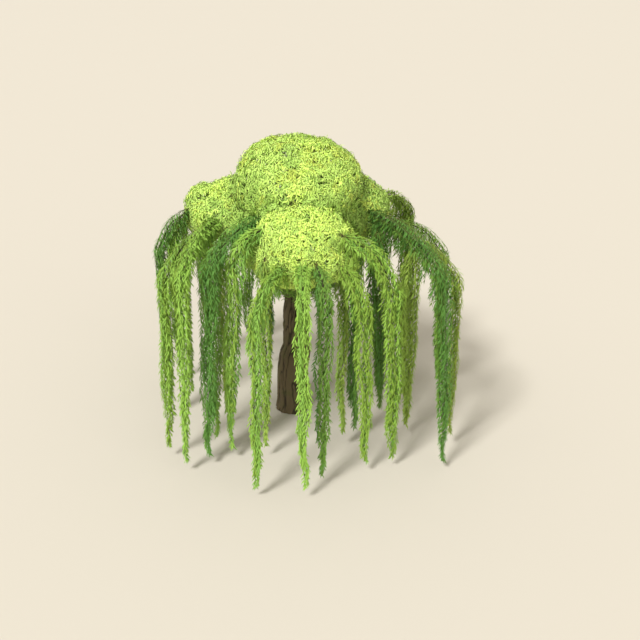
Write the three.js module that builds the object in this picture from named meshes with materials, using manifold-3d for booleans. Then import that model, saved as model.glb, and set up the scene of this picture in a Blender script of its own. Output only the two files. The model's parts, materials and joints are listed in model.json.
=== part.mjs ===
// A weeping willow: a leaning trunk, five boughs, six rounded masses of foliage and a ring of
// streamers that arch out of the crown and hang almost to the ground. Millimetres, +Z up.
// The origin is the middle of the flat cut under the trunk, and nothing lies below it.
import * as THREE from 'three';
import { mergeVertices } from 'three/addons/utils/BufferGeometryUtils.js';
import Module from 'manifold-3d';

const wasm = await Module();
wasm.setup();

// ---- driving dimensions -------------------------------------------------------------------

const METRE = 1000;
const CLEARANCE = 0.5; // gap left where one piece is cut round another

const TRUNK = {
  height: 4.7 * METRE,
  flare: 0.1 * METRE, // added to the radius at the ground
  flareHeight: 0.4 * METRE, // height over which the root flare fades
  rootRidges: 5,
  ridgeDepth: 0.1, // as a part of the radius, at the ground
  sides: 15,
  rings: 18,
};

// How the trunk changes with height, in metres: thick and upright up to an old swelling at a
// little over two metres, then slimmer and leaning to +X. Sideways is towards +X, back towards +Y.
const TRUNK_SECTIONS = [
  { height: 0.0, radius: 0.56, sideways: 0.0, back: 0.0 },
  { height: 1.1, radius: 0.55, sideways: -0.01, back: -0.04 },
  { height: 1.7, radius: 0.54, sideways: 0.0, back: -0.04 },
  { height: 2.2, radius: 0.555, sideways: 0.085, back: -0.01 },
  { height: 2.6, radius: 0.45, sideways: 0.13, back: 0.02 },
  { height: 3.6, radius: 0.43, sideways: 0.11, back: 0.045 },
  { height: 4.7, radius: 0.4, sideways: 0.19, back: 0.0 },
];

// Each bough starts inside the head of the trunk and ends inside the mass that it feeds.
// The end is in metres; lift is how far the middle of the limb is raised above a straight line.
const BOUGHS = [
  { name: 'bough_leader', startHeight: 4.62, end: [0.45, -0.2, 6.0], lift: 0.0, radii: [0.29, 0.2] },
  { name: 'bough_left', startHeight: 4.25, end: [-2.0, 0.35, 7.1], lift: -0.25, radii: [0.21, 0.11] },
  { name: 'bough_right', startHeight: 4.35, end: [2.0, 0.75, 7.3], lift: -0.2, radii: [0.2, 0.11] },
  { name: 'bough_back', startHeight: 4.3, end: [0.2, 2.2, 6.9], lift: -0.2, radii: [0.2, 0.11] },
  { name: 'bough_front', startHeight: 4.2, end: [0.45, -1.5, 5.9], lift: -0.1, radii: [0.18, 0.12] },
];
const BOUGH_SIDES = 8;
const BOUGH_RINGS = 7;

// The rounded masses of the crown, in metres. A mass is cut round those listed before it.
const MASSES = [
  { name: 'crown_front', centre: [0.45, -2.0, 7.18], radii: [1.8, 1.5, 1.25], seed: 1, tint: 'lime' },
  { name: 'crown_top', centre: [0.3, 0.1, 8.66], radii: [2.22, 2.0, 1.38], seed: 2, tint: 'lime' },
  { name: 'crown_left', centre: [-1.98, 0.35, 7.45], radii: [1.5, 1.55, 1.05], seed: 3, tint: 'lime' },
  { name: 'crown_right', centre: [1.95, 0.95, 7.4], radii: [1.35, 1.45, 1.05], seed: 4, tint: 'lime' },
  { name: 'crown_back', centre: [0.1, 2.3, 7.35], radii: [1.85, 1.55, 1.1], seed: 5, tint: 'lime' },
  { name: 'crown_low', centre: [0.55, -0.6, 6.0], radii: [1.6, 1.3, 0.95], seed: 6, tint: 'leaf' },
];
const MASS_DETAIL = 3;
const MASS_UNEVENNESS = 0.045;
const MASS_NARROWING = 0.18; // how much narrower a mass is at its top than at its middle
const MASS_EXIT = 0.6; // how far out from its middle, as a part of its radius, a streamer starts

// The streamers. Bearings are degrees anticlockwise from +X round the trunk, lengths are metres.
// An arch leaves its mass at one height, rises to the crest and comes down at the bend, `reach`
// from the trunk. From there it hangs to its tip, moved on by `swing` degrees and `lean` metres.
const ARCHED = [
  { name: 'left_side', from: 'crown_left', bearing: 188, reach: 4.3, leave: 7.25, crest: 7.45,
    bend: 6.3, tip: 0.6, swing: 0, lean: 0.1, breadth: 0.8, tint: 'deep' },
  { name: 'left_outer', from: 'crown_left', bearing: -139, reach: 4.85, leave: 6.9, crest: 7.3,
    bend: 6.2, tip: 0.5, swing: -2, lean: 0.3, breadth: 0.74, tint: 'leaf' },
  { name: 'left_front', from: 'crown_left', bearing: -127.5, reach: 4.95, leave: 7.3, crest: 7.65,
    bend: 6.8, tip: 0.45, swing: -2, lean: 0.25, breadth: 0.62, tint: 'leaf' },
  { name: 'left_deep', from: 'crown_top', bearing: -123.5, reach: 4.2, leave: 7.6, crest: 7.75,
    bend: 6.7, tip: 0.45, swing: -2.5, lean: 0.3, breadth: 0.74, tint: 'deep' },
  { name: 'left_light', from: 'crown_front', bearing: -117, reach: 3.5, leave: 7.5, crest: 7.75,
    bend: 6.9, tip: 0.5, swing: -3.5, lean: 0.3, breadth: 0.66, tint: 'leaf' },
  { name: 'front_left', from: 'crown_front', bearing: -99.5, reach: 5.2, leave: 6.6, crest: 6.95,
    bend: 6.0, tip: 0.45, swing: -1, lean: 0.2, breadth: 0.52, tint: 'leaf' },
  { name: 'front_middle', from: 'crown_front', bearing: -84.5, reach: 5.2, leave: 6.7, crest: 7.1,
    bend: 6.4, tip: 0.5, swing: 0, lean: 0.2, breadth: 0.44, tint: 'leaf' },
  { name: 'front_deep', from: 'crown_front', bearing: -76, reach: 4.7, leave: 6.6, crest: 7.0,
    bend: 6.3, tip: 0.5, swing: -2, lean: 0.15, breadth: 0.56, tint: 'deep' },
  { name: 'front_right', from: 'crown_front', bearing: -59.5, reach: 4.5, leave: 6.5, crest: 6.8,
    bend: 5.8, tip: 0.5, swing: 0.5, lean: 0.2, breadth: 0.62, tint: 'leaf' },
  { name: 'right_front', from: 'crown_front', bearing: -48.5, reach: 4.8, leave: 7.3, crest: 7.5,
    bend: 6.0, tip: 0.45, swing: 0, lean: 0.2, breadth: 0.88, tint: 'leaf' },
  { name: 'right_outer', from: 'crown_right', bearing: -39, reach: 5.85, leave: 7.4, crest: 7.6,
    bend: 6.6, tip: 0.3, swing: 1.5, lean: 0.4, breadth: 0.74, tint: 'deep' },
  { name: 'right_far', from: 'crown_right', bearing: -25.5, reach: 5.75, leave: 6.8, crest: 7.1,
    bend: 6.0, tip: 0.6, swing: 0, lean: 0.15, breadth: 0.66, tint: 'olive' },
  { name: 'right_side', from: 'crown_right', bearing: 11, reach: 5.35, leave: 6.6, crest: 6.7,
    bend: 5.4, tip: 0.55, swing: 1, lean: 0.15, breadth: 0.8, tint: 'leaf' },
  { name: 'back_right', from: 'crown_right', bearing: 38, reach: 5.25, leave: 7.15, crest: 7.25,
    bend: 6.3, tip: 0.6, swing: 0, lean: 0.2, breadth: 0.9, tint: 'olive' },
  { name: 'back_far', from: 'crown_back', bearing: 61, reach: 5.0, leave: 7.1, crest: 7.4,
    bend: 6.2, tip: 0.5, swing: 0, lean: 0.2, breadth: 0.8, tint: 'leaf' },
  { name: 'back_deep', from: 'crown_back', bearing: 78, reach: 4.8, leave: 7.1, crest: 7.4,
    bend: 6.3, tip: 0.6, swing: 0, lean: 0.15, breadth: 0.75, tint: 'deep' },
  { name: 'back_middle', from: 'crown_back', bearing: 112.5, reach: 4.9, leave: 7.1, crest: 7.4,
    bend: 6.3, tip: 0.5, swing: 0, lean: 0.2, breadth: 0.8, tint: 'leaf' },
  { name: 'back_left', from: 'crown_back', bearing: 134, reach: 4.9, leave: 7.0, crest: 7.3,
    bend: 6.2, tip: 0.5, swing: 0, lean: 0.15, breadth: 0.85, tint: 'olive' },
  { name: 'left_back', from: 'crown_left', bearing: 157, reach: 4.6, leave: 6.7, crest: 6.85,
    bend: 5.7, tip: 0.6, swing: 0, lean: 0.15, breadth: 0.8, tint: 'leaf' },
];

// Streamers that hang straight down from the underside of a mass or an arch above their top.
const STRAIGHT = [
  { name: 'left_gap', bearing: -128.5, reach: 3.45, top: 7.0, tip: 0.6, swing: -3, lean: 0.3,
    breadth: 0.5, tint: 'leaf' },
  { name: 'front_olive', bearing: -102.5, reach: 3.15, top: 7.0, tip: 0.5, swing: -1.5, lean: 0.15,
    breadth: 0.46, tint: 'olive' },
  { name: 'front_right_olive', bearing: -57.5, reach: 3.05, top: 7.0, tip: 0.7, swing: 0, lean: 0.15,
    breadth: 0.46, tint: 'olive' },
  { name: 'right_inner', bearing: -46.5, reach: 2.9, top: 7.0, tip: 0.6, swing: 0, lean: 0.2,
    breadth: 0.72, tint: 'deep' },
  { name: 'right_shade', bearing: -24, reach: 3.05, top: 7.2, tip: 0.8, swing: 0, lean: 0.3,
    breadth: 1.15, tint: 'deep' },
  { name: 'right_middle', bearing: -27.5, reach: 4.3, top: 6.9, tip: 0.5, swing: 0, lean: 0.1,
    breadth: 1.0, tint: 'olive' },
  { name: 'left_under', bearing: 180, reach: 3.5, top: 7.0, tip: 0.6, swing: 0, lean: 0.2,
    breadth: 0.5, tint: 'leaf' },
  { name: 'left_low', bearing: -150.5, reach: 2.45, top: 7.1, tip: 0.6, swing: 0, lean: 0.2,
    breadth: 0.5, tint: 'olive' },
  { name: 'back_under', bearing: 107, reach: 3.05, top: 7.0, tip: 0.5, swing: 0.5, lean: 0.15,
    breadth: 0.42, tint: 'deep' },
  { name: 'back_inner', bearing: 91, reach: 3.6, top: 7.1, tip: 0.6, swing: 0, lean: 0.3,
    breadth: 0.6, tint: 'leaf' },
];

const STREAMER = {
  sides: 6,
  depthPart: 0.6, // depth, outwards from the trunk, as a part of the breadth
  archSteps: 5,
  crestAt: 0.35, // how far along an arch its crest lies
  fallPower: 1.7, // 1 falls straight from the crest to the bend, more falls steeper at the end
  roundness: 0.55, // 0 slopes down to the bend, 1 comes down to it upright
  hangSteps: 8,
  zigzag: 0.17 * METRE, // how far its line strays sideways at each step
  swelling: 0.4, // how much its breadth changes from step to step
  tipPart: 0.06, // breadth left at the tip, as a part of the whole
  taperPower: 3.2, // the higher, the later the streamer narrows
  twist: 0.3, // radians
};

const GREENS = { lime: '#cbec76', leaf: '#83ae48', olive: '#89a848', deep: '#679541' };
const BARK = '#493f2b';

// ---- shapes ---------------------------------------------------------------------------------

const degrees = THREE.MathUtils.degToRad;
const { lerp } = THREE.MathUtils;

/** Metres in a list to a vector in millimetres. */
function metres(list) {
  return new THREE.Vector3(...list).multiplyScalar(METRE);
}

/** A point at a bearing and a distance from the trunk's axis, at a height, all lengths in metres. */
function polar(bearing, reach, height) {
  const angle = degrees(bearing);
  return metres([reach * Math.cos(angle), reach * Math.sin(angle), height]);
}

/** A ring of points round a centre, from two half axes that lie along two unit vectors. */
function ring(centre, across, outward, halfWidth, halfDepth, sides) {
  const points = [];
  for (let i = 0; i < sides; i += 1) {
    const angle = (i / sides) * 2 * Math.PI;
    points.push(centre.clone()
      .addScaledVector(across, halfWidth * Math.cos(angle))
      .addScaledVector(outward, halfDepth * Math.sin(angle)));
  }
  return points;
}

/** Skins a stack of rings and caps both ends, as one closed body with its faces pointing out. */
function skin(rings) {
  const sides = rings[0].length;
  const last = (rings.length - 1) * sides;
  const index = [];
  for (let row = 0; row < rings.length - 1; row += 1) {
    for (let i = 0; i < sides; i += 1) {
      const a = row * sides + i;
      const b = row * sides + ((i + 1) % sides);
      index.push(a, b, b + sides, a, b + sides, a + sides);
    }
  }
  for (let i = 1; i < sides - 1; i += 1) {
    index.push(0, i + 1, i);
    index.push(last, last + i, last + i + 1);
  }
  const geometry = new THREE.BufferGeometry();
  const places = rings.flat().flatMap((point) => point.toArray());
  geometry.setAttribute('position', new THREE.Float32BufferAttribute(places, 3));
  geometry.setIndex(index);
  return geometry;
}

/** One measure of the trunk at a height, blended smoothly between the sections, in millimetres. */
function trunkMeasure(height, measure) {
  const above = TRUNK_SECTIONS.findIndex((section) => section.height * METRE >= height);
  const upper = TRUNK_SECTIONS[Math.max(above, 1)];
  const lower = TRUNK_SECTIONS[Math.max(above, 1) - 1];
  const part = THREE.MathUtils.smoothstep(height / METRE, lower.height, upper.height);
  return lerp(lower[measure], upper[measure], part) * METRE;
}

function trunkCentre(height) {
  return new THREE.Vector3(trunkMeasure(height, 'sideways'), trunkMeasure(height, 'back'), height);
}

/** The trunk: rings round its leaning centre line, and a ridged flare where the roots start. */
function trunkGeometry(grow) {
  const rings = [];
  for (let row = 0; row <= TRUNK.rings; row += 1) {
    const height = TRUNK.height * (row / TRUNK.rings) ** 1.5;
    const flare = Math.exp(-height / TRUNK.flareHeight);
    const radius = trunkMeasure(height, 'radius') + TRUNK.flare * flare;
    const centre = trunkCentre(height);
    if (row === TRUNK.rings) centre.z += grow;
    const points = [];
    for (let i = 0; i < TRUNK.sides; i += 1) {
      const angle = (i / TRUNK.sides) * 2 * Math.PI;
      const ridge = 1 + TRUNK.ridgeDepth * flare * Math.cos(TRUNK.rootRidges * angle);
      const out = radius * ridge + grow;
      points.push(new THREE.Vector3(out * Math.cos(angle), out * Math.sin(angle), 0).add(centre));
    }
    rings.push(points);
  }
  return skin(rings);
}

/** A bough: a limb that tapers along one smooth bend, with round sections square to its line. */
function boughGeometry({ startHeight, end, lift, radii }, grow) {
  const start = trunkCentre(startHeight * METRE);
  const finish = metres(end);
  const middle = start.clone().lerp(finish, 0.5).add(new THREE.Vector3(0, 0, lift * METRE));
  const line = new THREE.QuadraticBezierCurve3(start, middle, finish);
  const rings = [];
  for (let row = 0; row <= BOUGH_RINGS; row += 1) {
    const part = row / BOUGH_RINGS;
    const along = line.getTangent(part);
    const across = new THREE.Vector3(0, 0, 1).cross(along).normalize();
    const outward = along.clone().cross(across);
    const radius = lerp(radii[0], radii[1], part) * METRE + grow;
    rings.push(ring(line.getPoint(part), across, outward, radius, radius, BOUGH_SIDES));
  }
  return skin(rings);
}

/** A mass of foliage: a flattened ball whose surface swells and sinks unevenly. */
function massGeometry({ centre, radii, seed }, grow) {
  const geometry = new THREE.IcosahedronGeometry(1, MASS_DETAIL);
  geometry.deleteAttribute('normal');
  geometry.deleteAttribute('uv');
  const ball = mergeVertices(geometry, 1e-5);
  const place = ball.getAttribute('position');
  const point = new THREE.Vector3();
  const half = metres(radii);
  const middle = metres(centre);
  for (let i = 0; i < place.count; i += 1) {
    point.fromBufferAttribute(place, i).normalize();
    const swell = Math.sin(3.1 * point.x + 1.7 * seed) + Math.sin(3.7 * point.y + 2.3 * seed)
      + Math.sin(4.3 * point.z + 4 * point.x + 0.9 * seed);
    const size = 1 + MASS_UNEVENNESS * swell;
    const narrow = size * (1 - MASS_NARROWING * point.z);
    point.set(
      point.x * (half.x * narrow + grow),
      point.y * (half.y * narrow + grow),
      point.z * (half.z * size + grow),
    );
    point.add(middle);
    place.setXYZ(i, point.x, point.y, point.z);
  }
  return ball;
}

/** A number from -0.5 to 0.5 that looks random but is always the same for the same two seeds. */
function stray(seed, step) {
  const big = Math.sin(12.9898 * (seed + 1) + 78.233 * (step + 1)) * 43758.5453;
  return big - Math.floor(big) - 0.5;
}

/** The line of an arched streamer: out of its mass, over the crest, down at the bend, to the tip. */
function archedLine({ from, bearing, reach, leave, crest, bend, tip, swing, lean }) {
  const mass = MASSES.find((each) => each.name === from);
  const shoulder = polar(bearing, reach, bend);
  const end = polar(bearing + swing, reach + lean, tip);
  const start = metres(mass.centre);
  const away = shoulder.clone().sub(start).setZ(0).normalize();
  start.x += away.x * mass.radii[0] * MASS_EXIT * METRE;
  start.y += away.y * mass.radii[1] * MASS_EXIT * METRE;
  start.z = leave * METRE;
  const { crestAt, fallPower, roundness } = STREAMER;

  function onArch(part) {
    const outward = lerp(part, Math.sin(0.5 * Math.PI * part), roundness);
    const point = start.clone().lerp(shoulder, outward);
    const rise = Math.sin(0.5 * Math.PI * Math.min(part / crestAt, 1));
    const fall = Math.max((part - crestAt) / (1 - crestAt), 0) ** fallPower;
    point.z = part < crestAt
      ? lerp(start.z, crest * METRE, rise)
      : lerp(crest * METRE, shoulder.z, fall);
    return point;
  }

  return (s) => (s <= 1 ? onArch(Math.max(s, 0)) : shoulder.clone().lerp(end, s - 1));
}

/** The line of a streamer that hangs straight from its top, where s is 1, to its tip. */
function straightLine({ bearing, reach, top, tip, swing, lean }) {
  const start = polar(bearing, reach, top);
  const end = polar(bearing + swing, reach + lean, tip);
  return (s) => start.clone().lerp(end, s - 1);
}

/**
 * Sweeps a flat six-sided section along a streamer's line. An arch runs from s = 0 to s = 1,
 * and what hangs from s = 1 to s = 2, where it strays and swells at each step down to its tip.
 */
function streamerGeometry(streamer, at, seed, first, grow) {
  const steps = first < 1 ? STREAMER.archSteps : STREAMER.hangSteps;
  const { depthPart, sides, swelling, taperPower, tipPart, twist, zigzag } = STREAMER;
  const angle = degrees(streamer.bearing);
  const sideways = new THREE.Vector3(-Math.sin(angle), Math.cos(angle), 0);
  const rings = [];
  for (let row = 0; row <= steps; row += 1) {
    const s = first + row / steps;
    const hanging = Math.max(s - 1, 0);
    const loose = hanging > 0 && row < steps ? 1 : 0;
    const taper = Math.max(1 - hanging ** taperPower, tipPart) * (s < 1 ? lerp(0.8, 1, s) : 1);
    const width = taper * (1 + loose * swelling * stray(seed + 40, row));
    const halfWidth = 0.5 * streamer.breadth * METRE * width;
    const along = at(s + 0.02).sub(at(s - 0.02)).normalize();
    const across = sideways.clone().addScaledVector(along, -sideways.dot(along)).normalize();
    across.applyAxisAngle(along, loose * twist * stray(seed + 80, row));
    const outward = along.clone().cross(across);
    const centre = at(s).addScaledVector(sideways, loose * zigzag * stray(seed, row));
    if (row === 0) centre.addScaledVector(along, -grow);
    if (row === steps) centre.addScaledVector(along, grow);
    rings.push(ring(centre, across, outward, halfWidth + grow, halfWidth * depthPart + grow, sides));
  }
  return skin(rings);
}

// ---- cutting one piece round another ----------------------------------------------------------

function toSolid(geometry) {
  const vertProperties = new Float32Array(geometry.getAttribute('position').array);
  const triVerts = new Uint32Array(geometry.getIndex().array);
  return new wasm.Manifold(new wasm.Mesh({ numProp: 3, vertProperties, triVerts }));
}

function toGeometry(solid) {
  const { vertProperties, triVerts } = solid.getMesh();
  const geometry = new THREE.BufferGeometry();
  geometry.setAttribute('position', new THREE.BufferAttribute(vertProperties, 3));
  geometry.setIndex(new THREE.BufferAttribute(triVerts, 1));
  return geometry;
}

/** What is left of a piece outside all the cutters; only its largest part is kept. */
function cutRound(geometry, cutters) {
  let solid = toSolid(geometry);
  for (const cutter of cutters) solid = solid.subtract(cutter);
  const parts = solid.decompose();
  const largest = parts.reduce((best, each) => (each.volume() > best.volume() ? each : best));
  return toGeometry(largest);
}

// ---- the tree -----------------------------------------------------------------------------------

const willow = new THREE.Group();

function addPiece(name, geometry, color, roughness) {
  const flat = geometry.toNonIndexed();
  flat.computeVertexNormals();
  const material = new THREE.MeshStandardMaterial({ color, roughness, metalness: 0, flatShading: true });
  const mesh = new THREE.Mesh(flat, material);
  mesh.name = name;
  willow.add(mesh);
}

const addWood = (name, geometry) => addPiece(name, geometry, BARK, 0.9);
const addLeaves = (name, geometry, tint) => addPiece(name, geometry, GREENS[tint], 0.75);

const massCutters = [];
for (const mass of MASSES) {
  addLeaves(mass.name, cutRound(massGeometry(mass, 0), massCutters), mass.tint);
  massCutters.push(toSolid(massGeometry(mass, CLEARANCE)));
}

addWood('trunk', trunkGeometry(0));
const limbCutters = [toSolid(trunkGeometry(CLEARANCE))];
for (const bough of BOUGHS) {
  addWood(bough.name, cutRound(boughGeometry(bough, 0), [...limbCutters, ...massCutters]));
  limbCutters.push(toSolid(boughGeometry(bough, CLEARANCE)));
}

// A streamer is cut round the masses, the limbs and the streamers made before it.
const streamerCutters = [...massCutters, ...limbCutters];

function addStretch(name, streamer, at, seed, first) {
  const body = streamerGeometry(streamer, at, seed, first, 0);
  addLeaves(name, cutRound(body, streamerCutters), streamer.tint);
  streamerCutters.push(toSolid(streamerGeometry(streamer, at, seed, first, CLEARANCE)));
}

ARCHED.forEach((streamer, i) => {
  addStretch(`arch_${streamer.name}`, streamer, archedLine(streamer), i, 0);
});
ARCHED.forEach((streamer, i) => {
  addStretch(`streamer_${streamer.name}`, streamer, archedLine(streamer), i, 1);
});
STRAIGHT.forEach((streamer, i) => {
  addStretch(`streamer_${streamer.name}`, streamer, straightLine(streamer), ARCHED.length + i, 1);
});

export default willow;
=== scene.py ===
# %% [markdown]
# # A weeping willow in leaf
#
# A CAD model gives this willow's trunk, five boughs, six rounded masses of foliage and a ring
# of arching streamers, each as one closed solid. Here each is swapped for what it stands for:
# bark, limbs, twigs and narrow leaves. Every size and place is measured from the solids.

# %% Load the frame
import json
import math

import bpy
import numpy as np
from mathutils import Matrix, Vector, noise
from mathutils.bvhtree import BVHTree

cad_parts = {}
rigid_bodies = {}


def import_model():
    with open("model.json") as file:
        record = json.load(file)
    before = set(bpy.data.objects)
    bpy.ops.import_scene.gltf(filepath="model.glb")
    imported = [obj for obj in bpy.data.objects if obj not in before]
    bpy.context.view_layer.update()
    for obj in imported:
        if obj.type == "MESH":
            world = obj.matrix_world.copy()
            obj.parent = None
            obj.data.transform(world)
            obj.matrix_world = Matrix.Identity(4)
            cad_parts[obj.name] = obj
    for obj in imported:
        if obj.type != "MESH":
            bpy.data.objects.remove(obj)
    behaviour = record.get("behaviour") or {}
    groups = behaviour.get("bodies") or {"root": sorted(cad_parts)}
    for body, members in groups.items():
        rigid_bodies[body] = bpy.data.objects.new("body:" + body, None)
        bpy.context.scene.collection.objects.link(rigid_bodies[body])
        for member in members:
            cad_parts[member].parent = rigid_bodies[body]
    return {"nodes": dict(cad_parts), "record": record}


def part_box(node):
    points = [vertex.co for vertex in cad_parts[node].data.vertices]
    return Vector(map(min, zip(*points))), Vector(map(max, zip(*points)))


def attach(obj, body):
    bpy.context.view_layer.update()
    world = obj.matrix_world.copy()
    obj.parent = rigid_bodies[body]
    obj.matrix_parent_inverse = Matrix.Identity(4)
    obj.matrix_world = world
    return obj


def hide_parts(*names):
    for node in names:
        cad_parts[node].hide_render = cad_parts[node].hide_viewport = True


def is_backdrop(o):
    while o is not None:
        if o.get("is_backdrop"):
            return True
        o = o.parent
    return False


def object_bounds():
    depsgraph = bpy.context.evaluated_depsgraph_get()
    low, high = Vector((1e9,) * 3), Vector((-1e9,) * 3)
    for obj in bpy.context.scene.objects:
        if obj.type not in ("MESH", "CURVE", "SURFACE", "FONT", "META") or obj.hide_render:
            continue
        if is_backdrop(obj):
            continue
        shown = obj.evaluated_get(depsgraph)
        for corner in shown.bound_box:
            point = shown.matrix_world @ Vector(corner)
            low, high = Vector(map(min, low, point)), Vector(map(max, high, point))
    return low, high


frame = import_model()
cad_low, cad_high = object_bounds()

rng = np.random.default_rng(11)
nodes = frame["nodes"]
print(len(nodes), "solids, a tree of", [round(top - foot, 2) for foot, top in zip(cad_low, cad_high)], "m")

# %% [markdown]
# ## What the frame holds
#
# Each solid's name starts with its kind, and the record says which finish it wears. Sorting the
# names once keeps every later step in the same order, so the seeded tree grows the same way
# each time the notebook is run.

# %% The kinds of solid
UP = np.array([0.0, 0.0, 1.0])
finish_of = {row["node"]: row["material_slot"] for row in frame["record"]["subparts"]}
record_colour = {row["slot"]: row["base_color"] for row in frame["record"]["materials"]}


def kind(prefix):
    """The names of the solids of one kind."""
    return sorted(name for name in nodes if name.startswith(prefix))


masses, boughs = kind("crown_"), kind("bough_")
arches, streamers = kind("arch_"), kind("streamer_")
print(len(masses), "masses,", len(boughs), "boughs,", len(arches), "arches,", len(streamers), "streamers")

# %% [markdown]
# ## Measuring a solid
#
# Points scattered evenly over a solid's surface are enough to measure it: a triangle is picked
# by its area, and then a place inside it. The same scatter later says where the leaves of a
# rounded mass belong and which way they face.

# %% Points on a solid
def unit(vectors):
    """Vectors scaled to a length of one."""
    return vectors / np.maximum(np.linalg.norm(vectors, axis=-1, keepdims=True), 1e-9)


def along_part(vectors, direction):
    """How much of each vector runs along a direction of length one."""
    return (vectors * direction).sum(-1, keepdims=True)


def triangles_of(name):
    """A solid's corner points and its triangles."""
    mesh = nodes[name].data
    points = np.empty(len(mesh.vertices) * 3, np.float32)
    mesh.vertices.foreach_get("co", points)
    mesh.calc_loop_triangles()
    corners = np.empty(len(mesh.loop_triangles) * 3, np.int32)
    mesh.loop_triangles.foreach_get("vertices", corners)
    return points.reshape(-1, 3).astype(float), corners.reshape(-1, 3)


def surface_of(name):
    """A solid's surface as a tree of triangles that answers nearest-point and ray questions."""
    points, corners = triangles_of(name)
    return BVHTree.FromPolygons(points.tolist(), corners.tolist())


def scatter(name, count):
    """Points spread evenly over a solid's surface, and which way the surface faces there."""
    points, corners = triangles_of(name)
    a, b, c = (points[corners[:, i]] for i in range(3))
    normal = np.cross(b - a, c - a)
    area = np.linalg.norm(normal, axis=1)
    pick = rng.choice(len(area), count, p=area / area.sum())
    u, v = rng.random((2, count, 1))
    fold = u + v > 1
    u, v = np.where(fold, 1 - u, u), np.where(fold, 1 - v, v)
    return a[pick] + u * (b - a)[pick] + v * (c - a)[pick], unit(normal[pick])


# %% [markdown]
# ## The centre line of a limb
#
# A limb or a streamer can be read from its solid by cutting it into slices. The middle of each
# slice is a point on its centre line, and the slice's half width and half depth say how far the
# twigs may spread there. The long axis is the way in which the points lie furthest apart.

# %% Cutting a long solid into slices
SLICE_POINTS = 4000


def around(places):
    """The level direction that runs round the trunk's axis, anticlockwise, at each place."""
    places = np.asarray(places, float)
    return unit(np.stack([-places[..., 1], places[..., 0], np.zeros(places.shape[:-1])], -1))


def slices(name, towards, count):
    """A long solid's slices from one end to the other: rows of x, y, z, half width, half depth."""
    place, _ = scatter(name, SLICE_POINTS)
    middle = place.mean(0)
    axis = np.linalg.svd(place - middle, full_matrices=False)[2][0]
    axis = axis * np.sign(axis @ towards)
    across = unit(around(middle) - axis * (around(middle) @ axis))
    depthways = np.cross(axis, across)
    local = (place - middle) @ np.stack([across, depthways, axis]).T
    edges = np.linspace(local[:, 2].min(), local[:, 2].max(), count + 1)
    rows = []
    for near, far in zip(edges, edges[1:]):
        part = local[(local[:, 2] >= near) & (local[:, 2] <= far)]
        least, most = part.min(0), part.max(0)
        centre = middle + (least + most)[0] / 2 * across + (least + most)[1] / 2 * depthways
        centre = centre + (near + far) / 2 * axis
        rows.append([*centre, *((most - least)[:2] / 2)])
    rows = np.array(rows)
    first = rows[0] * 1.5 - rows[1] * 0.5
    last = rows[-1] * 1.5 - rows[-2] * 0.5
    last[:3] = place[np.argsort(local[:, 2])[-4:]].mean(0)
    return np.vstack([first, rows, last])


# %% [markdown]
# Slices give a line with corners in it. Cutting each corner off twice rounds the line, and
# setting its points out again at even steps makes leaves and rings fall evenly along it.

# %% Smoothing and stepping along a line
def rounded(rows, times=2):
    """A line with its corners cut off, so that it bends smoothly."""
    for _ in range(times):
        near = rows[:-1] * 0.75 + rows[1:] * 0.25
        far = rows[:-1] * 0.25 + rows[1:] * 0.75
        rows = np.vstack([rows[:1], np.stack([near, far], 1).reshape(-1, rows.shape[1]), rows[-1:]])
    return rows


def spaced(rows, gap):
    """A line set out again with its points the same distance apart, about one gap."""
    run = np.concatenate([[0], np.cumsum(np.linalg.norm(np.diff(rows[:, :3], axis=0), axis=1))])
    steps = max(2, int(round(run[-1] / gap)) + 1)
    at = np.linspace(0, run[-1], steps)
    return np.stack([np.interp(at, run, column) for column in rows.T], 1)


def headings(line):
    """Which way a line runs at each of its points."""
    return unit(np.gradient(line[:, :3], axis=0))


# %% [markdown]
# ## Materials as expressions
#
# A bark finish is worked out by shader nodes. Wiring nodes one by one hides the maths, so one
# small class wraps a socket and lets plain expressions add the nodes: `1 - mask` makes a Math
# node, and `shade.node(...)` makes any other kind.

# %% One class for shader maths
class Shade:
    """An output socket that takes part in expressions. Each sign adds the Math node it needs."""

    def __init__(self, tree, socket=None):
        self.tree = tree
        self.socket = socket

    def node(self, kind, settings=None, links=None, output=0):
        """Adds a node: its settings first, then a value or a link for each named socket."""
        made = self.tree.nodes.new(kind)
        for name, value in (settings or {}).items():
            if name == "stops":
                set_stops(made.color_ramp, value)
            else:
                setattr(made, name, value)
        for key, value in (links or {}).items():
            target = made.inputs[key] if isinstance(key, int) else live(made.inputs, key)
            if isinstance(value, Shade):
                self.tree.links.new(value.socket, target)
            else:
                target.default_value = value
        found = made.outputs[output] if isinstance(output, int) else live(made.outputs, output)
        return Shade(self.tree, found)

    def feed(self, target):
        """Links this output to an input socket."""
        self.tree.links.new(self.socket, target)

    def maths(self, operation, first, second):
        return self.node("ShaderNodeMath", {"operation": operation}, {0: first, 1: second})

    def __add__(self, other):
        return self.maths("ADD", self, other)

    def __radd__(self, other):
        return self.maths("ADD", other, self)

    def __sub__(self, other):
        return self.maths("SUBTRACT", self, other)

    def __rsub__(self, other):
        return self.maths("SUBTRACT", other, self)

    def __mul__(self, other):
        return self.maths("MULTIPLY", self, other)

    def __rmul__(self, other):
        return self.maths("MULTIPLY", other, self)

    def mix(self, low, high):
        """The colour low where this is 0 and high where it is 1."""
        settings = {"data_type": "RGBA", "clamp_factor": True}
        return self.node("ShaderNodeMix", settings, {"Factor": self, "A": low, "B": high}, "Result")

    def ramp(self, low, high):
        """This value stretched so that it is 0 up to low and 1 from high."""
        return self.node("ShaderNodeValToRGB", {"stops": [(low, 0.0), (high, 1.0)]}, {0: self})


# %% [markdown]
# The class leans on a few small helpers. Some nodes have several sockets of the same name, and
# only the one that the node's settings leave in use may be linked.

# %% Helpers for the shader class
def live(sockets, name):
    """The socket of that name which the node's settings leave in use."""
    return next(socket for socket in sockets if socket.enabled and socket.name == name)


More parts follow.
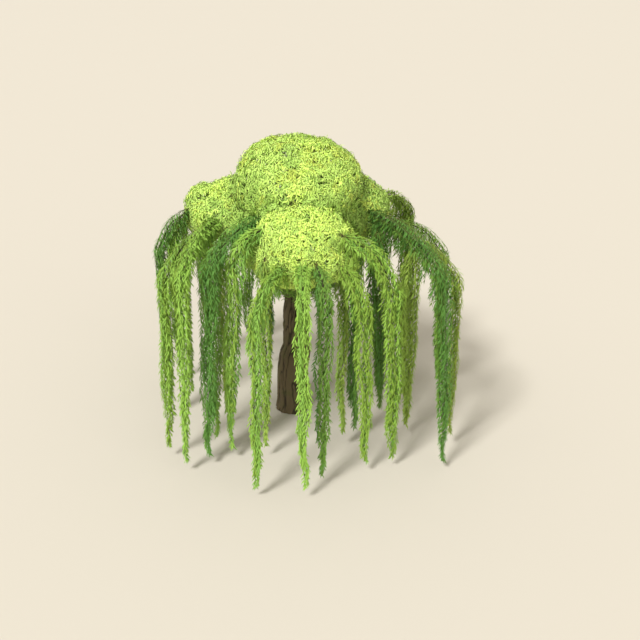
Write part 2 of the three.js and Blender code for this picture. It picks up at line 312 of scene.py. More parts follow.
def set_stops(ramp, stops):
    """Sets a colour ramp's two stops from pairs of position and grey level."""
    for element, (position, level) in zip(ramp.elements, stops):
        element.position = position
        element.color = (level, level, level, 1)


def new_material(name):
    """A material with only its Principled shader, and an empty Shade to start expressions from."""
    material = bpy.data.materials.new(name)
    material.use_nodes = True
    surface = material.node_tree.nodes["Principled BSDF"]
    return material, surface.inputs, Shade(material.node_tree)


def colour(rgb, factor=1.0):
    """A colour with an alpha of 1, made lighter or darker by a factor."""
    return (*(min(1.0, part * factor) for part in rgb), 1.0)


# %% [markdown]
# ## Bark
#
# Old willow bark is dark and split into long upright ridges that run into each other. The colour
# follows the relief: the ridges are worn paler and greyer, the furrows stay dark and damp. It is
# stored on the mesh as an attribute called `ridge`, so paint and shape agree, and a fine noise
# on top gives the small cracks that no mesh should carry.

# %% Bark material
MOSS = (0.075, 0.085, 0.022)
MOSS_STRENGTH = 0.45
FURROW_SHADE = 0.45
RIDGE_SHADE = 1.5
CRACK_STRETCH = (1, 1, 0.25)


def bark_material(name, lightness, grain):
    """Bark whose colour and roughness follow the ridges; grain is the size of its fine cracks."""
    material, surface, shade = new_material(name)
    base = record_colour["bark"]
    place = shade.node("ShaderNodeTexCoord", output="Object")
    upright = shade.node("ShaderNodeMapping", links={"Vector": place, "Scale": CRACK_STRETCH})
    ridge = shade.node("ShaderNodeAttribute", {"attribute_name": "ridge"}, output="Fac")
    cracks = shade.node("ShaderNodeTexNoise", links={"Vector": upright, "Scale": grain, "Detail": 6.0})
    patches = shade.node("ShaderNodeTexNoise", links={"Vector": place, "Scale": 2.3, "Detail": 3.0})
    worn = (ridge * 0.7 + cracks * 0.4).ramp(0.3, 0.75)
    wood = worn.mix(colour(base, FURROW_SHADE * lightness), colour(base, RIDGE_SHADE * lightness))
    mossy = patches.ramp(0.52, 0.7) * MOSS_STRENGTH
    mossy.mix(wood, colour(MOSS, lightness)).feed(surface["Base Color"])
    (0.97 - worn * 0.15).feed(surface["Roughness"])
    bump = shade.node("ShaderNodeBump", links={"Height": cracks, "Strength": 0.6, "Distance": 0.02})
    bump.feed(surface["Normal"])
    return material


old_bark = bark_material("old_bark", lightness=1.25, grain=22.0)
limb_bark = bark_material("limb_bark", lightness=1.5, grain=34.0)
print("bark materials:", old_bark.name, limb_bark.name)

# %% [markdown]
# ## Young twigs and leaves
#
# The hanging twigs of this willow are olive and smooth. Its leaves are narrow blades with a
# pointed tip. Light from above bleaches the young leaves of the crown to a yellow green, and
# those in the inner streamers stay deep green. Each group of foliage has four close tints, and
# a whole spray of leaves takes one tint, so the crown shimmers without any picture. The light
# and the dark tint also serve as painted sunlight and painted shade on parts of the crown.

# %% Twig and leaf materials
MIDDLE, LIGHT, DARK, WARM = range(4)
TINTS = {
    MIDDLE: (1.0, 1.0, 1.0),
    LIGHT: (1.25, 1.17, 1.1),
    DARK: (0.76, 0.82, 0.78),
    WARM: (1.08, 0.95, 0.78),
}
FAVOURED_SHARE = 0.55
FOLIAGE_ROUGHNESS = 0.6
FOLIAGE_SHINE = 0.2
TWIG_COLOUR = (0.13, 0.12, 0.03)


def plain_material(name, rgb):
    """A finish that is the same all over one piece of foliage."""
    material, surface, _ = new_material(name)
    surface["Base Color"].default_value = colour(rgb)
    surface["Roughness"].default_value = FOLIAGE_ROUGHNESS
    surface["Specular IOR Level"].default_value = FOLIAGE_SHINE
    return material


def tints_for(count, favoured):
    """A tint for each of so many sprays, more than half of them the favoured one."""
    share = np.full(len(TINTS), (1 - FAVOURED_SHARE) / (len(TINTS) - 1))
    share[favoured] = FAVOURED_SHARE
    return rng.choice(len(TINTS), count, p=share)


leaf_slots = sorted({finish_of[name] for name in masses + arches + streamers})
leaf_materials = {}
for slot_name in leaf_slots:
    leaf_materials[slot_name] = [
        plain_material(f"{slot_name}_{number + 1}", np.multiply(record_colour[slot_name], tint))
        for number, tint in TINTS.items()
    ]
twig_material = plain_material("young_twigs", TWIG_COLOUR)
print("leaf materials:", sum(len(group) for group in leaf_materials.values()))

# %% [markdown]
# ## From arrays to meshes
#
# A tree has far too many parts to model one by one, so each kind is worked out as arrays and
# becomes one joined mesh, handed to Blender in one go.

# %% Mesh helper
def make_mesh(name, points, faces, smooth=False):
    """A new object from an array of points and an array of faces."""
    mesh = bpy.data.meshes.new(name)
    mesh.vertices.add(len(points))
    mesh.vertices.foreach_set("co", np.asarray(points, np.float32).ravel())
    sides = faces.shape[1]
    mesh.loops.add(faces.size)
    mesh.loops.foreach_set("vertex_index", faces.astype(np.int32).ravel())
    mesh.polygons.add(len(faces))
    mesh.polygons.foreach_set("loop_start", np.arange(0, faces.size, sides, dtype=np.int32))
    mesh.polygons.foreach_set("use_smooth", np.full(len(faces), smooth))
    mesh.update(calc_edges=True)
    mesh.validate()
    made = bpy.data.objects.new(name, mesh)
    bpy.context.scene.collection.objects.link(made)
    return made


def set_ridge(piece, relief):
    """Stores the bark's relief on a piece's points for its material to read."""
    ridge = piece.data.attributes.new("ridge", "FLOAT", "POINT")
    ridge.data.foreach_set("value", np.asarray(relief, np.float32).ravel())


# %% [markdown]
# A limb is a tube: rings of points along a line, each ring square to the line, joined by
# four-sided faces. Each ring's first direction is carried on from the ring before, so that the
# tube doesn't twist where the line bends.

# %% Tube helpers
def ring_faces(rings, sides):
    """Four-sided faces that join rings of points, each ring to the next."""
    ring = np.arange(sides)
    start = np.arange(rings - 1)[:, None] * sides
    following = (ring + 1) % sides
    corners = [start + ring, start + following, start + following + sides, start + ring + sides]
    return np.stack(corners, -1).reshape(-1, 4)


def tube(line, radii, sides):
    """Points and four-sided faces of a tube along a line."""
    heading = headings(line)
    across = np.cross(heading, UP + 0.01)
    upright = np.linalg.norm(across, axis=1) < 0.2
    across[upright] = np.cross(heading[upright], [0.0, 1.0, 0.0])
    across = unit(across)
    for i in range(1, len(across)):
        across[i] = across[i - 1] - heading[i] * (across[i - 1] @ heading[i])
        across[i] /= np.linalg.norm(across[i])
    other = np.cross(heading, across)
    turn = (np.arange(sides) / sides * 2 * np.pi)[:, None]
    circle = across[:, None] * np.cos(turn) + other[:, None] * np.sin(turn)
    points = line[:, None, :3] + circle * np.asarray(radii)[:, None, None]
    return points.reshape(-1, 3), ring_faces(len(line), sides)


def join_tubes(tubes):
    """Many tubes' points and faces as one."""
    shift = np.cumsum([0] + [len(points) for points, _ in tubes[:-1]])
    points = np.vstack([points for points, _ in tubes])
    faces = np.vstack([faces + start for (_, faces), start in zip(tubes, shift)])
    return points, faces


# %% [markdown]
# ## The furrows of the bark
#
# Bark splits because the trunk grows thicker and its old skin can't stretch. Noise crosses zero
# along wandering lines, and those lines make good furrows: the height is 0 on a line and rises
# quickly to a flat ridge on each side. Reading the noise round a circle joins the pattern up
# behind the trunk, and slow reading upwards makes the ridges long and upright.

# %% Height of the bark
FURROWS_ROUND = 15.0
FURROW_STRETCH = 0.9
FURROW_EDGE = 4.5
FURROW_WANDER = 0.35


def furrows(angle, height, seed):
    """Height of the bark, from 0 in a furrow to 1 on a ridge, at an angle and a height."""
    wander = noise.noise((math.cos(angle) * 1.5 + seed, math.sin(angle) * 1.5, height * 0.9))
    turn = angle + FURROW_WANDER * wander
    x, y = math.cos(turn) * FURROWS_ROUND / 5, math.sin(turn) * FURROWS_ROUND / 5
    broad = noise.noise((x, y, height * FURROW_STRETCH + seed))
    fine = noise.noise((x * 2.6, y * 2.6, height * FURROW_STRETCH * 2.8 + seed))
    return min(1.0, abs(broad + 0.4 * fine) * FURROW_EDGE)


def relief_of(heights, sides, seed):
    """The bark's height on a grid of rings and sides."""
    turns = np.arange(sides) / sides * 2 * np.pi
    return np.array([[furrows(turn, height, seed) for turn in turns] for height in heights])


# %% [markdown]
# ## The trunk
#
# The trunk flares into root ridges at the ground, has an old swelling a little above head height
# and leans slightly over that. Its solid has flat sides. A ray sent outwards from the middle at
# many angles and heights measures that surface, and averaging over neighbouring angles rounds it.

# %% Measuring the trunk
TRUNK_RINGS = 125
TRUNK_SIDES = 150
RING_CROWDING = 1.15  # above 1, rings lie closer together near the foot
ROUNDING = TRUNK_SIDES // 15  # how many neighbours on each side are averaged
RIM = 0.002  # rays at the very ends start this far inside the solid


def shape_of(name, line, outward):
    """How far a solid's surface lies from each point of a line, in each outward direction."""
    surface = surface_of(name)
    found = np.zeros((len(line), len(outward)))
    for row, centre in enumerate(line):
        for i, direction in enumerate(outward):
            hit = surface.ray_cast(Vector(centre), Vector(direction))
            found[row, i] = hit[3] or found[row, i - 1]
    return found


trunk_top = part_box("trunk")[1].z
trunk_slices = slices("trunk", UP, 14)
trunk_heights = trunk_top * np.linspace(0, 1, TRUNK_RINGS) ** RING_CROWDING
trunk_x, trunk_y = (np.interp(trunk_heights, trunk_slices[:, 2], trunk_slices[:, i]) for i in (0, 1))
trunk_line = np.stack([trunk_x, trunk_y, np.clip(trunk_heights, RIM, trunk_top - RIM)], 1)
angle = np.arange(TRUNK_SIDES) / TRUNK_SIDES * 2 * np.pi
outward = np.stack([np.cos(angle), np.sin(angle), np.zeros(TRUNK_SIDES)], 1)
trunk_radius = shape_of("trunk", trunk_line, outward)
turned = [np.roll(trunk_radius, step, 1) for step in range(-ROUNDING, ROUNDING + 1)]
trunk_radius = sum(turned) / len(turned)
foot_radius, head_radius = trunk_radius[0].mean(), trunk_radius[-1].mean()
print(f"trunk radius: {foot_radius:.2f} m at the foot, {head_radius:.2f} m at the head")

# %% [markdown]
# The furrows are pressed into the measured shape as real relief, so that they also show along
# the trunk's outline. The top is drawn in and ends out of sight among the boughs.

# %% The trunk's skin
FURROW_DEPTH = 0.045
FURROW_LEVEL = 0.75  # the height of bark that lies on the measured surface
trunk_relief = relief_of(trunk_heights, TRUNK_SIDES, 3.0)
trunk_line[:, 2] = trunk_heights
skin = (trunk_radius + FURROW_DEPTH * (trunk_relief - FURROW_LEVEL))[..., None]
head_middle = trunk_line[-1:, None]
foot = trunk_line[:1, None] + outward * 0.01
head = head_middle + outward * skin[-1:] * 0.55 + UP * 0.12
head_tip = head_middle + outward * 0.01 + UP * 0.16
trunk_points = np.vstack([foot, trunk_line[:, None] + outward * skin, head, head_tip])
trunk_faces = ring_faces(len(trunk_points), TRUNK_SIDES)
trunk = make_mesh("trunk_bark", trunk_points.reshape(-1, 3), trunk_faces, smooth=True)
set_ridge(trunk, np.vstack([trunk_relief[:1], trunk_relief, trunk_relief[-1:], trunk_relief[-1:]]))
trunk.data.materials.append(old_bark)
print("trunk:", len(trunk_faces) * 2, "triangles")

# %% [markdown]
# ## The skeleton
#
# A branching rule grows the wood that the crown hides. It keeps a list of points that wood has
# already reached. Each new limb is given a place to grow to, leaves the nearest point that lies
# behind it, sets off the way that limb was heading and curves round to its target. Limbs are
# grown in orders: one main limb to each mass, then limbs, then branchlets, then twigs.

# %% The branching rule
AHEAD_HELPS = 0.5  # how much nearer wood seems that already heads for the target
TOO_HIGH = 0.3  # wood this far above the target seems further by HIGH_COST
HIGH_COST = 0.15
KEEP_ON = 0.8  # what a limb's first heading is made of: its parent's heading,
TURN_OFF = 0.6  # the way to its target,
LIFT = 0.1  # and a little lift towards the light
SET_OFF = 0.4  # how far the bend near the root lies, as a part of the limb's reach
COME_IN = 0.3  # the same for the bend near the target


class Skeleton:
    """Points that wood has reached, which way it ran there, and which limb it belongs to."""

    def __init__(self):
        self.place = np.zeros((0, 3))
        self.heading = np.zeros((0, 3))
        self.limb = np.zeros(0, int)
        self.lines = []
        self.parent = []
        self.order = []

    def add(self, line, parent, order):
        """Adds one limb, from its root to its tip."""
        self.limb = np.concatenate([self.limb, np.full(len(line), len(self.lines))])
        self.place = np.vstack([self.place, line[:, :3]])
        self.heading = np.vstack([self.heading, headings(line)])
        self.lines.append(line)
        self.parent.append(parent)
        self.order.append(order)

    def best_root(self, target):
        """The point that a limb to this target should leave: near it, and heading its way."""
        away = target - self.place
        gap = np.linalg.norm(away, axis=1)
        ahead = (away * self.heading).sum(1) / np.maximum(gap, 1e-6)
        too_high = self.place[:, 2] > target[2] + TOO_HIGH
        pick = np.argmin(gap * (1 + AHEAD_HELPS - AHEAD_HELPS * ahead) + HIGH_COST * too_high)
        return pick, away[pick], gap[pick]

    def grow(self, targets, order, steps, arrive, wobble):
        """Grows a limb to each target, nearest first, each from wood that lies behind it."""
        near = np.linalg.norm(targets[:, None] - self.place[::3], axis=2).min(1)
        for index in np.argsort(near):
            target = targets[index]
            pick, away, reach = self.best_root(target)
            leave = unit(self.heading[pick] * KEEP_ON + unit(away) * TURN_OFF + UP * LIFT)
            root = self.place[pick]
            bend_out = root + leave * reach * SET_OFF
            bend_in = target - arrive[index] * reach * COME_IN
            t = np.linspace(0, 1, steps)[:, None]
            line = (1 - t) ** 3 * root + 3 * (1 - t) ** 2 * t * bend_out
            line = line + 3 * (1 - t) * t**2 * bend_in + t**3 * target
            line[1:-1] += rng.normal(0, wobble * reach, (steps - 2, 3))
            self.add(line, self.limb[pick], order)


# %% [markdown]
# The skeleton starts with the wood that is already there: the trunk and the five boughs. Each
# bough's line is led in from inside the trunk's head, so that no gap shows where they meet.

# %% The trunk and the boughs start the skeleton
STEM, MAIN, LIMB, BRANCHLET, ARCH = range(5)
LEAD_IN = 4  # points of the lead-in
BOUGH_ROOT = int(TRUNK_RINGS * 0.9)  # the ring of the trunk where it starts
skeleton = Skeleton()
skeleton.add(trunk_line[::12], -1, STEM)
bough_rows = {}
for name in boughs:
    outwards = np.array(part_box(name)[0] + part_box(name)[1]) * [0.5, 0.5, 0.0]
    rows = spaced(rounded(slices(name, UP + 0.5 * unit(outwards), 8)), 0.06)
    inside = trunk_line[BOUGH_ROOT, :3]
    lead_in = np.linspace(0, 1, LEAD_IN + 1)[:-1, None] * (rows[0, :3] - inside) + inside
    lead_in = np.hstack([lead_in, np.tile(rows[2, 3:], (LEAD_IN, 1))])
    bough_rows[name] = np.vstack([lead_in, rows[1:]])
    skeleton.add(bough_rows[name], 0, STEM)
print(f"{len(skeleton.place)} points on the trunk and the boughs")

# %% [markdown]
# ## Where the leaves of the crown belong
#
# The rounded masses are dense outside and bare inside, because willow leaves need light. Sprays
# of leaves are set out over each mass's surface, one to each small cell so that there are no
# bald spots, but not where two masses meet, since no light gets there.

# %% Places for sprays on the masses
SPRAY_CELL = 0.172
SPRAY_TRIES = 24000
HIDDEN_GAP = 0.03
surfaces = {name: surface_of(name) for name in masses}


def exposed_points(name):
    """Evenly spread points on a mass's outer surface, and the way that it faces there."""
    place, facing = scatter(name, SPRAY_TRIES)
    cells = np.floor(place / SPRAY_CELL).astype(int)
    from_middle = np.linalg.norm(place / SPRAY_CELL - cells - 0.5, axis=1)
    order = np.argsort(from_middle)
    _, first = np.unique(cells[order], axis=0, return_index=True)
    place, facing = place[order][first], facing[order][first]
    others = [surfaces[other] for other in masses if other != name]
    clear = [
        all(other.find_nearest(Vector(point), HIDDEN_GAP)[0] is None for other in others)
        for point in place
    ]
    return place[clear], facing[clear]


mass_sprays = {name: exposed_points(name) for name in masses}
centre_of = {name: np.array((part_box(name)[0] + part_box(name)[1]) / 2) for name in masses}
for name in masses:
    print(f"{name}: {len(mass_sprays[name][0])} sprays")

# %% [markdown]
# Between rounded masses there are folds and pockets that a real crown fills with foliage. A
# point lies in a fold when it is outside every mass and close to two of them, and in a pocket
# when it is near three. Each such point gets a spray too, carried by the nearest mass. It is
# remembered as shaded, for the dark tint.

# %% Places for sprays in the folds between the masses
FOLD = 0.16
POCKET = 1.15
FILLER_CELL = 0.24
FILLER_TRIES = 26000


def outside_gap(surface, point):
    """How far a point lies outside a mass, or a negative number when it is inside."""
    nearest, normal, _, gap = surface.find_nearest(point)
    return gap if (point - nearest).dot(normal) > 0 else -gap


crown_foot = np.min([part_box(name)[0] for name in masses], 0)
crown_head = np.max([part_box(name)[1] for name in masses], 0)
tries = rng.uniform(crown_foot + [1, 1, 0], crown_head - [1, 1, 1], (FILLER_TRIES, 3))
gaps = np.array([[outside_gap(surfaces[name], Vector(point)) for name in masses] for point in tries])
ordered = np.sort(gaps, 1)
filler = (ordered[:, 0] > 0) & ((ordered[:, 1] < FOLD) | (ordered[:, :3].sum(1) < POCKET))
tries, owner = tries[filler], gaps[filler].argmin(1)
_, first = np.unique(np.floor(tries / FILLER_CELL).astype(int), axis=0, return_index=True)
shaded = {}
for index, name in enumerate(masses):
    place = tries[first][owner[first] == index]
    facing = unit(place - (crown_foot + crown_head) / 2 + UP)
    outer_place, outer_facing = mass_sprays[name]
    mass_sprays[name] = (np.vstack([outer_place, place]), np.vstack([outer_facing, facing]))
    shaded[name] = np.arange(len(mass_sprays[name][0])) >= len(outer_place)
print(f"{len(first)} sprays in the folds")

# %% [markdown]
# ## Limbs inside the crown
#
# First a main limb grows to the middle of each mass. Then limbs reach half way out to places
# all over the mass, and branchlets carry on from them to just under its skin. Each place picked
# is the furthest from all those before it, which spreads them well.

# %% Main limbs, limbs and branchlets
LIMBS_A_MASS = 14
SPRAYS_A_BRANCHLET = 9
LIMB_REACH = 0.5
BRANCHLET_REACH = 0.82
CROWN_SOURCE = [0.3, 0, 5.0]  # the main limbs fan out from here


def spread_out(places, count):
    """Picks the places that lie furthest from each other."""
    chosen = [0]
    gap = np.linalg.norm(places - places[0], axis=1)
    while len(chosen) < min(count, len(places)):
        chosen.append(int(np.argmax(gap)))
        gap = np.minimum(gap, np.linalg.norm(places - places[chosen[-1]], axis=1))
    return np.array(chosen)


middles = np.array([centre_of[name] - UP * 0.1 for name in masses])
fanned = unit(middles - CROWN_SOURCE)
skeleton.grow(middles, MAIN, steps=12, arrive=fanned, wobble=0.012)
for name in masses:
    place = mass_sprays[name][0]
    for count, reach, order, steps in (
        (LIMBS_A_MASS, LIMB_REACH, LIMB, 8),
        (len(place) // SPRAYS_A_BRANCHLET, BRANCHLET_REACH, BRANCHLET, 5),
    ):
        away = place[spread_out(place, count)] - centre_of[name]
        arrive = unit(away + 0.3 * UP)
        skeleton.grow(centre_of[name] + away * reach, order, steps, arrive, wobble=0.02)
print(f"{len(skeleton.lines)} limbs in the crown")

# %% [markdown]
# ## Streamers
#
# What makes a willow weep: long limbs arch out of the crown, and from them twigs hang straight
# down for many metres. Each arch and the streamer under it are read as one strand, a single
# line from the crown to the hanging tip that also knows how wide and deep the strand is.

# %% Strands: one line from the crown to each hanging tip
LINE_GAP = 0.1
STREAMER_SLICES = 12
ARCH_SLICES = 9
strands = []
for name in streamers:
    arch = name.replace("streamer_", "arch_")
    rows = slices(name, -UP, STREAMER_SLICES)
    arch_points = 0
    if arch in arches:
        out = np.array((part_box(arch)[0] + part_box(arch)[1]) / 2) * [1, 1, 0]
        arch_rows = slices(arch, unit(out) - UP, ARCH_SLICES)
        rows = np.vstack([arch_rows[:-1], rows[1:]])
        arch_points = len(spaced(rounded(arch_rows), LINE_GAP))
    line = spaced(rounded(rows), LINE_GAP)
    strands.append({"name": name, "arch": arch, "line": line, "on_arch": arch_points / len(line)})
lengths = [len(strand["line"]) * LINE_GAP for strand in strands]
print(f"{len(strands)} strands, {min(lengths):.1f} to {max(lengths):.1f} m long")

# %% [markdown]
# Each strand hangs on a limb of its own. The limb grows from the nearest wood inside the crown
# to where the strand starts, and on an arch it runs on along the bend.

# %% Limbs to the strands
PAST_THE_BEND = 4


def bend_of(strand):
    """How many points of a strand's line lie on its arch: none when it hangs straight down."""
    return int(strand["on_arch"] * len(strand["line"]))


for strand in strands:
    line = strand["line"]
    skeleton.grow(line[:1, :3], LIMB, steps=7, arrive=headings(line)[:1], wobble=0.015)
    if bend_of(strand):
        along = line[: bend_of(strand) + PAST_THE_BEND, :3]
        skeleton.add(along, len(skeleton.lines) - 1, ARCH)
print(f"{len(skeleton.lines)} limbs with those of the strands")

# %% [markdown]
# ## Twigs of the crown
#
# The sprays of one branchlet make a tuft: they fan out from its middle, stand out or sink in
# together and mostly share one tint, which gives the round masses their fine relief. Painted shade
# darkens the tint under the top mass, and a painted sunlit tint lights the front mass.

# %% How a tuft lies and what tint its sprays take
TUFT_RISE = 0.03
TUFT_SINK = 0.12
TUFT_FAN = 1.3
TUFT_SHARE = 0.6
# Painted light and shade: the dark tint is painted shade under the top mass, the light tint is painted
# sunlight on the front mass.
PAINTED_LIGHT_AND_SHADE = [  # mass, tint, and the range of upward facing that takes it
    ("crown_top", DARK, -1.0, 0.4),
    ("crown_front", LIGHT, -1.0, 0.15),
    ("crown_front", LIGHT, 0.5, 1.0),
]
PAINTED_TINT_SHARE = 0.65
# This mass lies in the top mass's shade, which is painted by giving its sprays the dark tint.
SHADY_MASS = "crown_right"


def tints_of_sprays(name, tuft):
    """A tint for each spray of a mass, mostly shared by the sprays of one tuft."""
    favoured = DARK if name == SHADY_MASS else MIDDLE
    shared = rng.random(len(tuft)) < TUFT_SHARE
    of_tuft = tints_for(tuft.max() + 1, favoured)[tuft]
    return np.where(shared, of_tuft, tints_for(len(tuft), favoured))


def with_painted_light_and_shade(name, facing, tints):
    """The tints again, with painted sunlight and painted shade put in on the masses and in their folds."""
    for mass, tint, least, most in PAINTED_LIGHT_AND_SHADE:
        if mass == name:
            there = (facing[:, 2] > least) & (facing[:, 2] < most)
            tints[there & (rng.random(len(facing)) < PAINTED_TINT_SHARE)] = tint
    # The shady mass and the sprays in the folds take the dark tint as painted shade.
    if name == SHADY_MASS:
        tints[tints == LIGHT] = DARK
    tints[shaded[name]] = DARK
    return tints


# %% [markdown]
# A spray is one twig that leaves a branchlet, comes up to the surface of its mass and nods over
# at the end. Four points are enough for that: its root, one under the skin, the crest and the tip.

# %% Twigs that carry the sprays
TWIG_STEPS = 4
TWIG_RADII = np.linspace(0.008, 0.003, TWIG_STEPS)
TWIG_STRAY = 0.3  # how unevenly the twigs of a tuft point
NOD = 0.8  # how strongly they nod downwards
UNDER_SKIN = 0.16  # where a twig comes up: this deep under the surface
RUN_UP = 0.14  # and this far back from its place
CREST_HEIGHT = (-0.02, 0.06)
TIP_REACH = (0.12, 0.24)
HANG = 0.1
LOW_HANG = 0.5
twig_tubes = []
spray_lines = {}
spray_tints = {}
load = np.zeros(len(skeleton.lines))
carries_twigs = np.isin(np.array(skeleton.order)[skeleton.limb], (LIMB, BRANCHLET))
branch_place = skeleton.place[carries_twigs]
branch_limb = skeleton.limb[carries_twigs]
for name in masses:
    place, facing = mass_sprays[name]
    count = len(place)
    pick = np.linalg.norm(place[:, None] - branch_place, axis=2).argmin(1)
    np.add.at(load, branch_limb[pick], 1)
    tufts, tuft = np.unique(branch_limb[pick], return_inverse=True)
    tuft_middle = np.stack([np.bincount(tuft, part) for part in place.T], 1) / np.bincount(tuft)[:, None]
    place = place - facing * rng.uniform(-TUFT_RISE, TUFT_SINK, (len(tufts), 1))[tuft]
    spray_tints[name] = with_painted_light_and_shade(name, facing, tints_of_sprays(name, tuft))
    over = rng.normal(0, TWIG_STRAY, (count, 3)) - UP * NOD + (place - tuft_middle[tuft]) * TUFT_FAN
    over = unit(over - facing * along_part(over, facing))
    under_skin = place - facing * UNDER_SKIN - over * RUN_UP
    crest = place + facing * rng.uniform(*CREST_HEIGHT, (count, 1)) - over * 0.05
    tip = place + over * rng.uniform(*TIP_REACH, (count, 1)) - facing * 0.03
    hang = rng.uniform(0, LOW_HANG if name == "crown_low" else HANG, (count, 1))
    tip = tip - UP * hang * np.clip(0.4 - facing[:, 2:], 0, 1)
    spray_lines[name] = np.stack([branch_place[pick], under_skin, crest, tip], 1)
    twig_tubes.extend(tube(line, TWIG_RADII, 3) for line in spray_lines[name])
print(f"{len(twig_tubes)} twigs in the crown")

# %% [markdown]
# ## Leaves
#
# A willow leaf is a blade about six times as long as it is wide. Here it is four triangles with
# a bent back, a little larger than life so that the tree needs fewer of them. Whole arrays of
# leaves are made at once: where each starts, which way it points and which way it faces.

# %% Leaf blades as arrays
CROWN_LEAF = 0.162
WHIP_LEAF = 0.2
LEAF_WIDTH = 0.18  # as a part of its length
LEAF_DROOP = 0.14
BLADE = np.array([[0.0, 0.0], [0.3, 0.5], [0.3, -0.5], [0.66, 0.36], [0.66, -0.36], [1.0, 0.0]])
BLADE_FACES = np.array([[0, 2, 1], [1, 2, 4], [1, 4, 3], [3, 4, 5]])
foliage = {}


def blades(base, along, face, length):
    """The points of leaves that start at base, point along and face that way."""
    side = unit(np.cross(along, face))
    face = np.cross(side, along)
    t = BLADE[None, :, :1]
    across = BLADE[None, :, 1:] * LEAF_WIDTH
    length = length[:, None, None]
    bent_back = -face[:, None] * LEAF_DROOP * t**2
    return base[:, None] + (along[:, None] * t + side[:, None] * across + bent_back) * length


def add_leaves(name, base, along, face, tint, size):
    """Keeps a group of leaves for the solid that they stand in for."""
    length = size * rng.uniform(0.75, 1.15, len(base))
    foliage.setdefault(name, []).append((blades(base, unit(along), face, length), tint))


# %% [markdown]
# The leaves of a spray sit in turn on its left and right, from where the twig comes up to the
# light down to its nodding tip. They lie close to the surface of the mass like the slates of a
# roof, because a leaf that sticks straight out would be lit on its edge.

# %% Leaves on the sprays of the crown
LEAVES_A_SPRAY = 18
FIRST_LEAF = 0.3  # where on the twig its leaves start
ALONG_TWIG = 0.55  # what a leaf's direction is made of: the twig's own,
SIDEWAYS = 0.6  # a turn to its left or right,
LEAF_SAG = 0.35  # the leaf's weight
LEAF_STRAY = 0.35  # and some chance
LIE_FLAT = 0.7  # how much of what sticks out of the surface is taken away
in_turn = np.where(np.arange(LEAVES_A_SPRAY) % 2, 1, -1)[:, None]
for name in masses:
    lines = spray_lines[name]
    facing = mass_sprays[name][1][:, None]
    count = len(lines)
    grid = (count, LEAVES_A_SPRAY)
    part = np.linspace(FIRST_LEAF, 1.0, LEAVES_A_SPRAY)[None] + rng.uniform(-0.02, 0.02, grid)
    part = np.clip(part, 0, 0.999) * (TWIG_STEPS - 1)
    low = part.astype(int)
    row = np.arange(count)[:, None]
    blend = (part - low)[..., None]
    base = lines[row, low] * (1 - blend) + lines[row, low + 1] * blend
    heading = unit(lines[row, low + 1] - lines[row, low])
    swing = unit(np.cross(heading, facing)) * in_turn
    stray = rng.normal(0, LEAF_STRAY, (*grid, 3))
    along = heading * ALONG_TWIG + swing * SIDEWAYS + stray - UP * LEAF_SAG
    along = along - facing * np.maximum(along_part(along, facing), 0) * LIE_FLAT
    face = facing * 0.9 + UP * 0.25 + rng.normal(0, 0.3, (*grid, 3))
    tint = np.repeat(spray_tints[name], LEAVES_A_SPRAY)
    add_leaves(name, base.reshape(-1, 3), along.reshape(-1, 3), face.reshape(-1, 3), tint, CROWN_LEAF)
print("crown leaves:", sum(len(tint) for name in masses for _, tint in foliage[name]))

# %% [markdown]
# ## Whips of the streamers
#
# A whip is one unbranched twig that hangs for metres, with a leaf every few centimetres. The
# leaves point down and outwards on every side, so that it looks the same from all round.

# %% Dressing one whip with leaves
WHIP_LEAF_GAP = 0.032


def clothe(name, place, tint):
    """Sets leaves all the way down a hanging whip or twig, on every side of it."""
    hung = spaced(place, WHIP_LEAF_GAP)
    radial = unit(rng.normal(0, 1, hung.shape))
    along = headings(hung) * 0.7 + radial * 0.7 - UP * 0.3
    face = radial * 0.5 + unit(hung * [1, 1, 0]) * 0.7 + UP * 0.4
    add_leaves(name, hung, along, face, np.full(len(hung), tint), WHIP_LEAF)


# %% [markdown]
# The whips of a strand fill its section in a spiral, as seeds fill a sunflower, which spreads
# any number of them evenly. Wide strands get more whips. Two in three start where the arch
# leaves the crown, and the others start further along it.

# %% Whips down every strand
WHIPS_A_SQUARE_METRE = 115
LEAST_WHIPS = 6
WHIP_SPREAD = 0.86
WHIP_RADII = (0.006, 0.002)
GOLDEN_TURN = 2.39996  # radians: the turn from one sunflower seed to the next
WHOLE_WHIPS = 4  # this many reach the strand's very tip
SWAY = 0.035
BRIGHT_STRAND = "streamer_left_front"
whip_tubes = []
for number, strand in enumerate(strands):
    line, bend = strand["line"], bend_of(strand)
    heading = headings(line)
    level = around(line[:, :3])
    across = unit(level - heading * along_part(level, heading))
    depthways = np.cross(heading, across)
    middle = line[len(line) // 2]
    count = LEAST_WHIPS + int(WHIPS_A_SQUARE_METRE * middle[3] * middle[4])
    strand["favoured"] = LIGHT if strand["name"] == BRIGHT_STRAND else number % len(TINTS)
    for whip in range(count):
        turn = whip * GOLDEN_TURN + number
        out = WHIP_SPREAD * math.sqrt((whip + 0.5) / count)
        first = 0 if whip % 3 else int(rng.uniform(0, 0.9) * bend)
        last = int(len(line) * (1.0 if whip < WHOLE_WHIPS else rng.uniform(0.8, 0.99)))
        rows = slice(first, max(last, first + 4))
        step = np.arange(len(line[rows]))
        spread = out * np.minimum(step / 5 + 0.3, 1)[:, None]
        sway = SWAY * np.sin(step * rng.uniform(0.15, 0.3) + turn * 3)[:, None]
        place = line[rows, :3] + across[rows] * (line[rows, 3:4] * math.cos(turn) * spread + sway)
        place = place + depthways[rows] * line[rows, 4:5] * math.sin(turn) * spread
        stem = place[::3]
        whip_tubes.append(tube(stem, np.linspace(*WHIP_RADII, len(stem)), 3))
        tint = tints_for(1, strand["favoured"])[0]
        on_arch = max(0, bend - first)
        if on_arch > 2:
            clothe(strand["arch"], place[: on_arch + 1], tint)
        clothe(strand["name"], place[on_arch:], tint)
print(f"{len(whip_tubes)} whips")

# %% [markdown]
# ## The fringe of the arches
#
# Shorter twigs hang all along an arch and close the space under it. Those at the back of the
# tree are longer, so that the crown is full from behind as well.

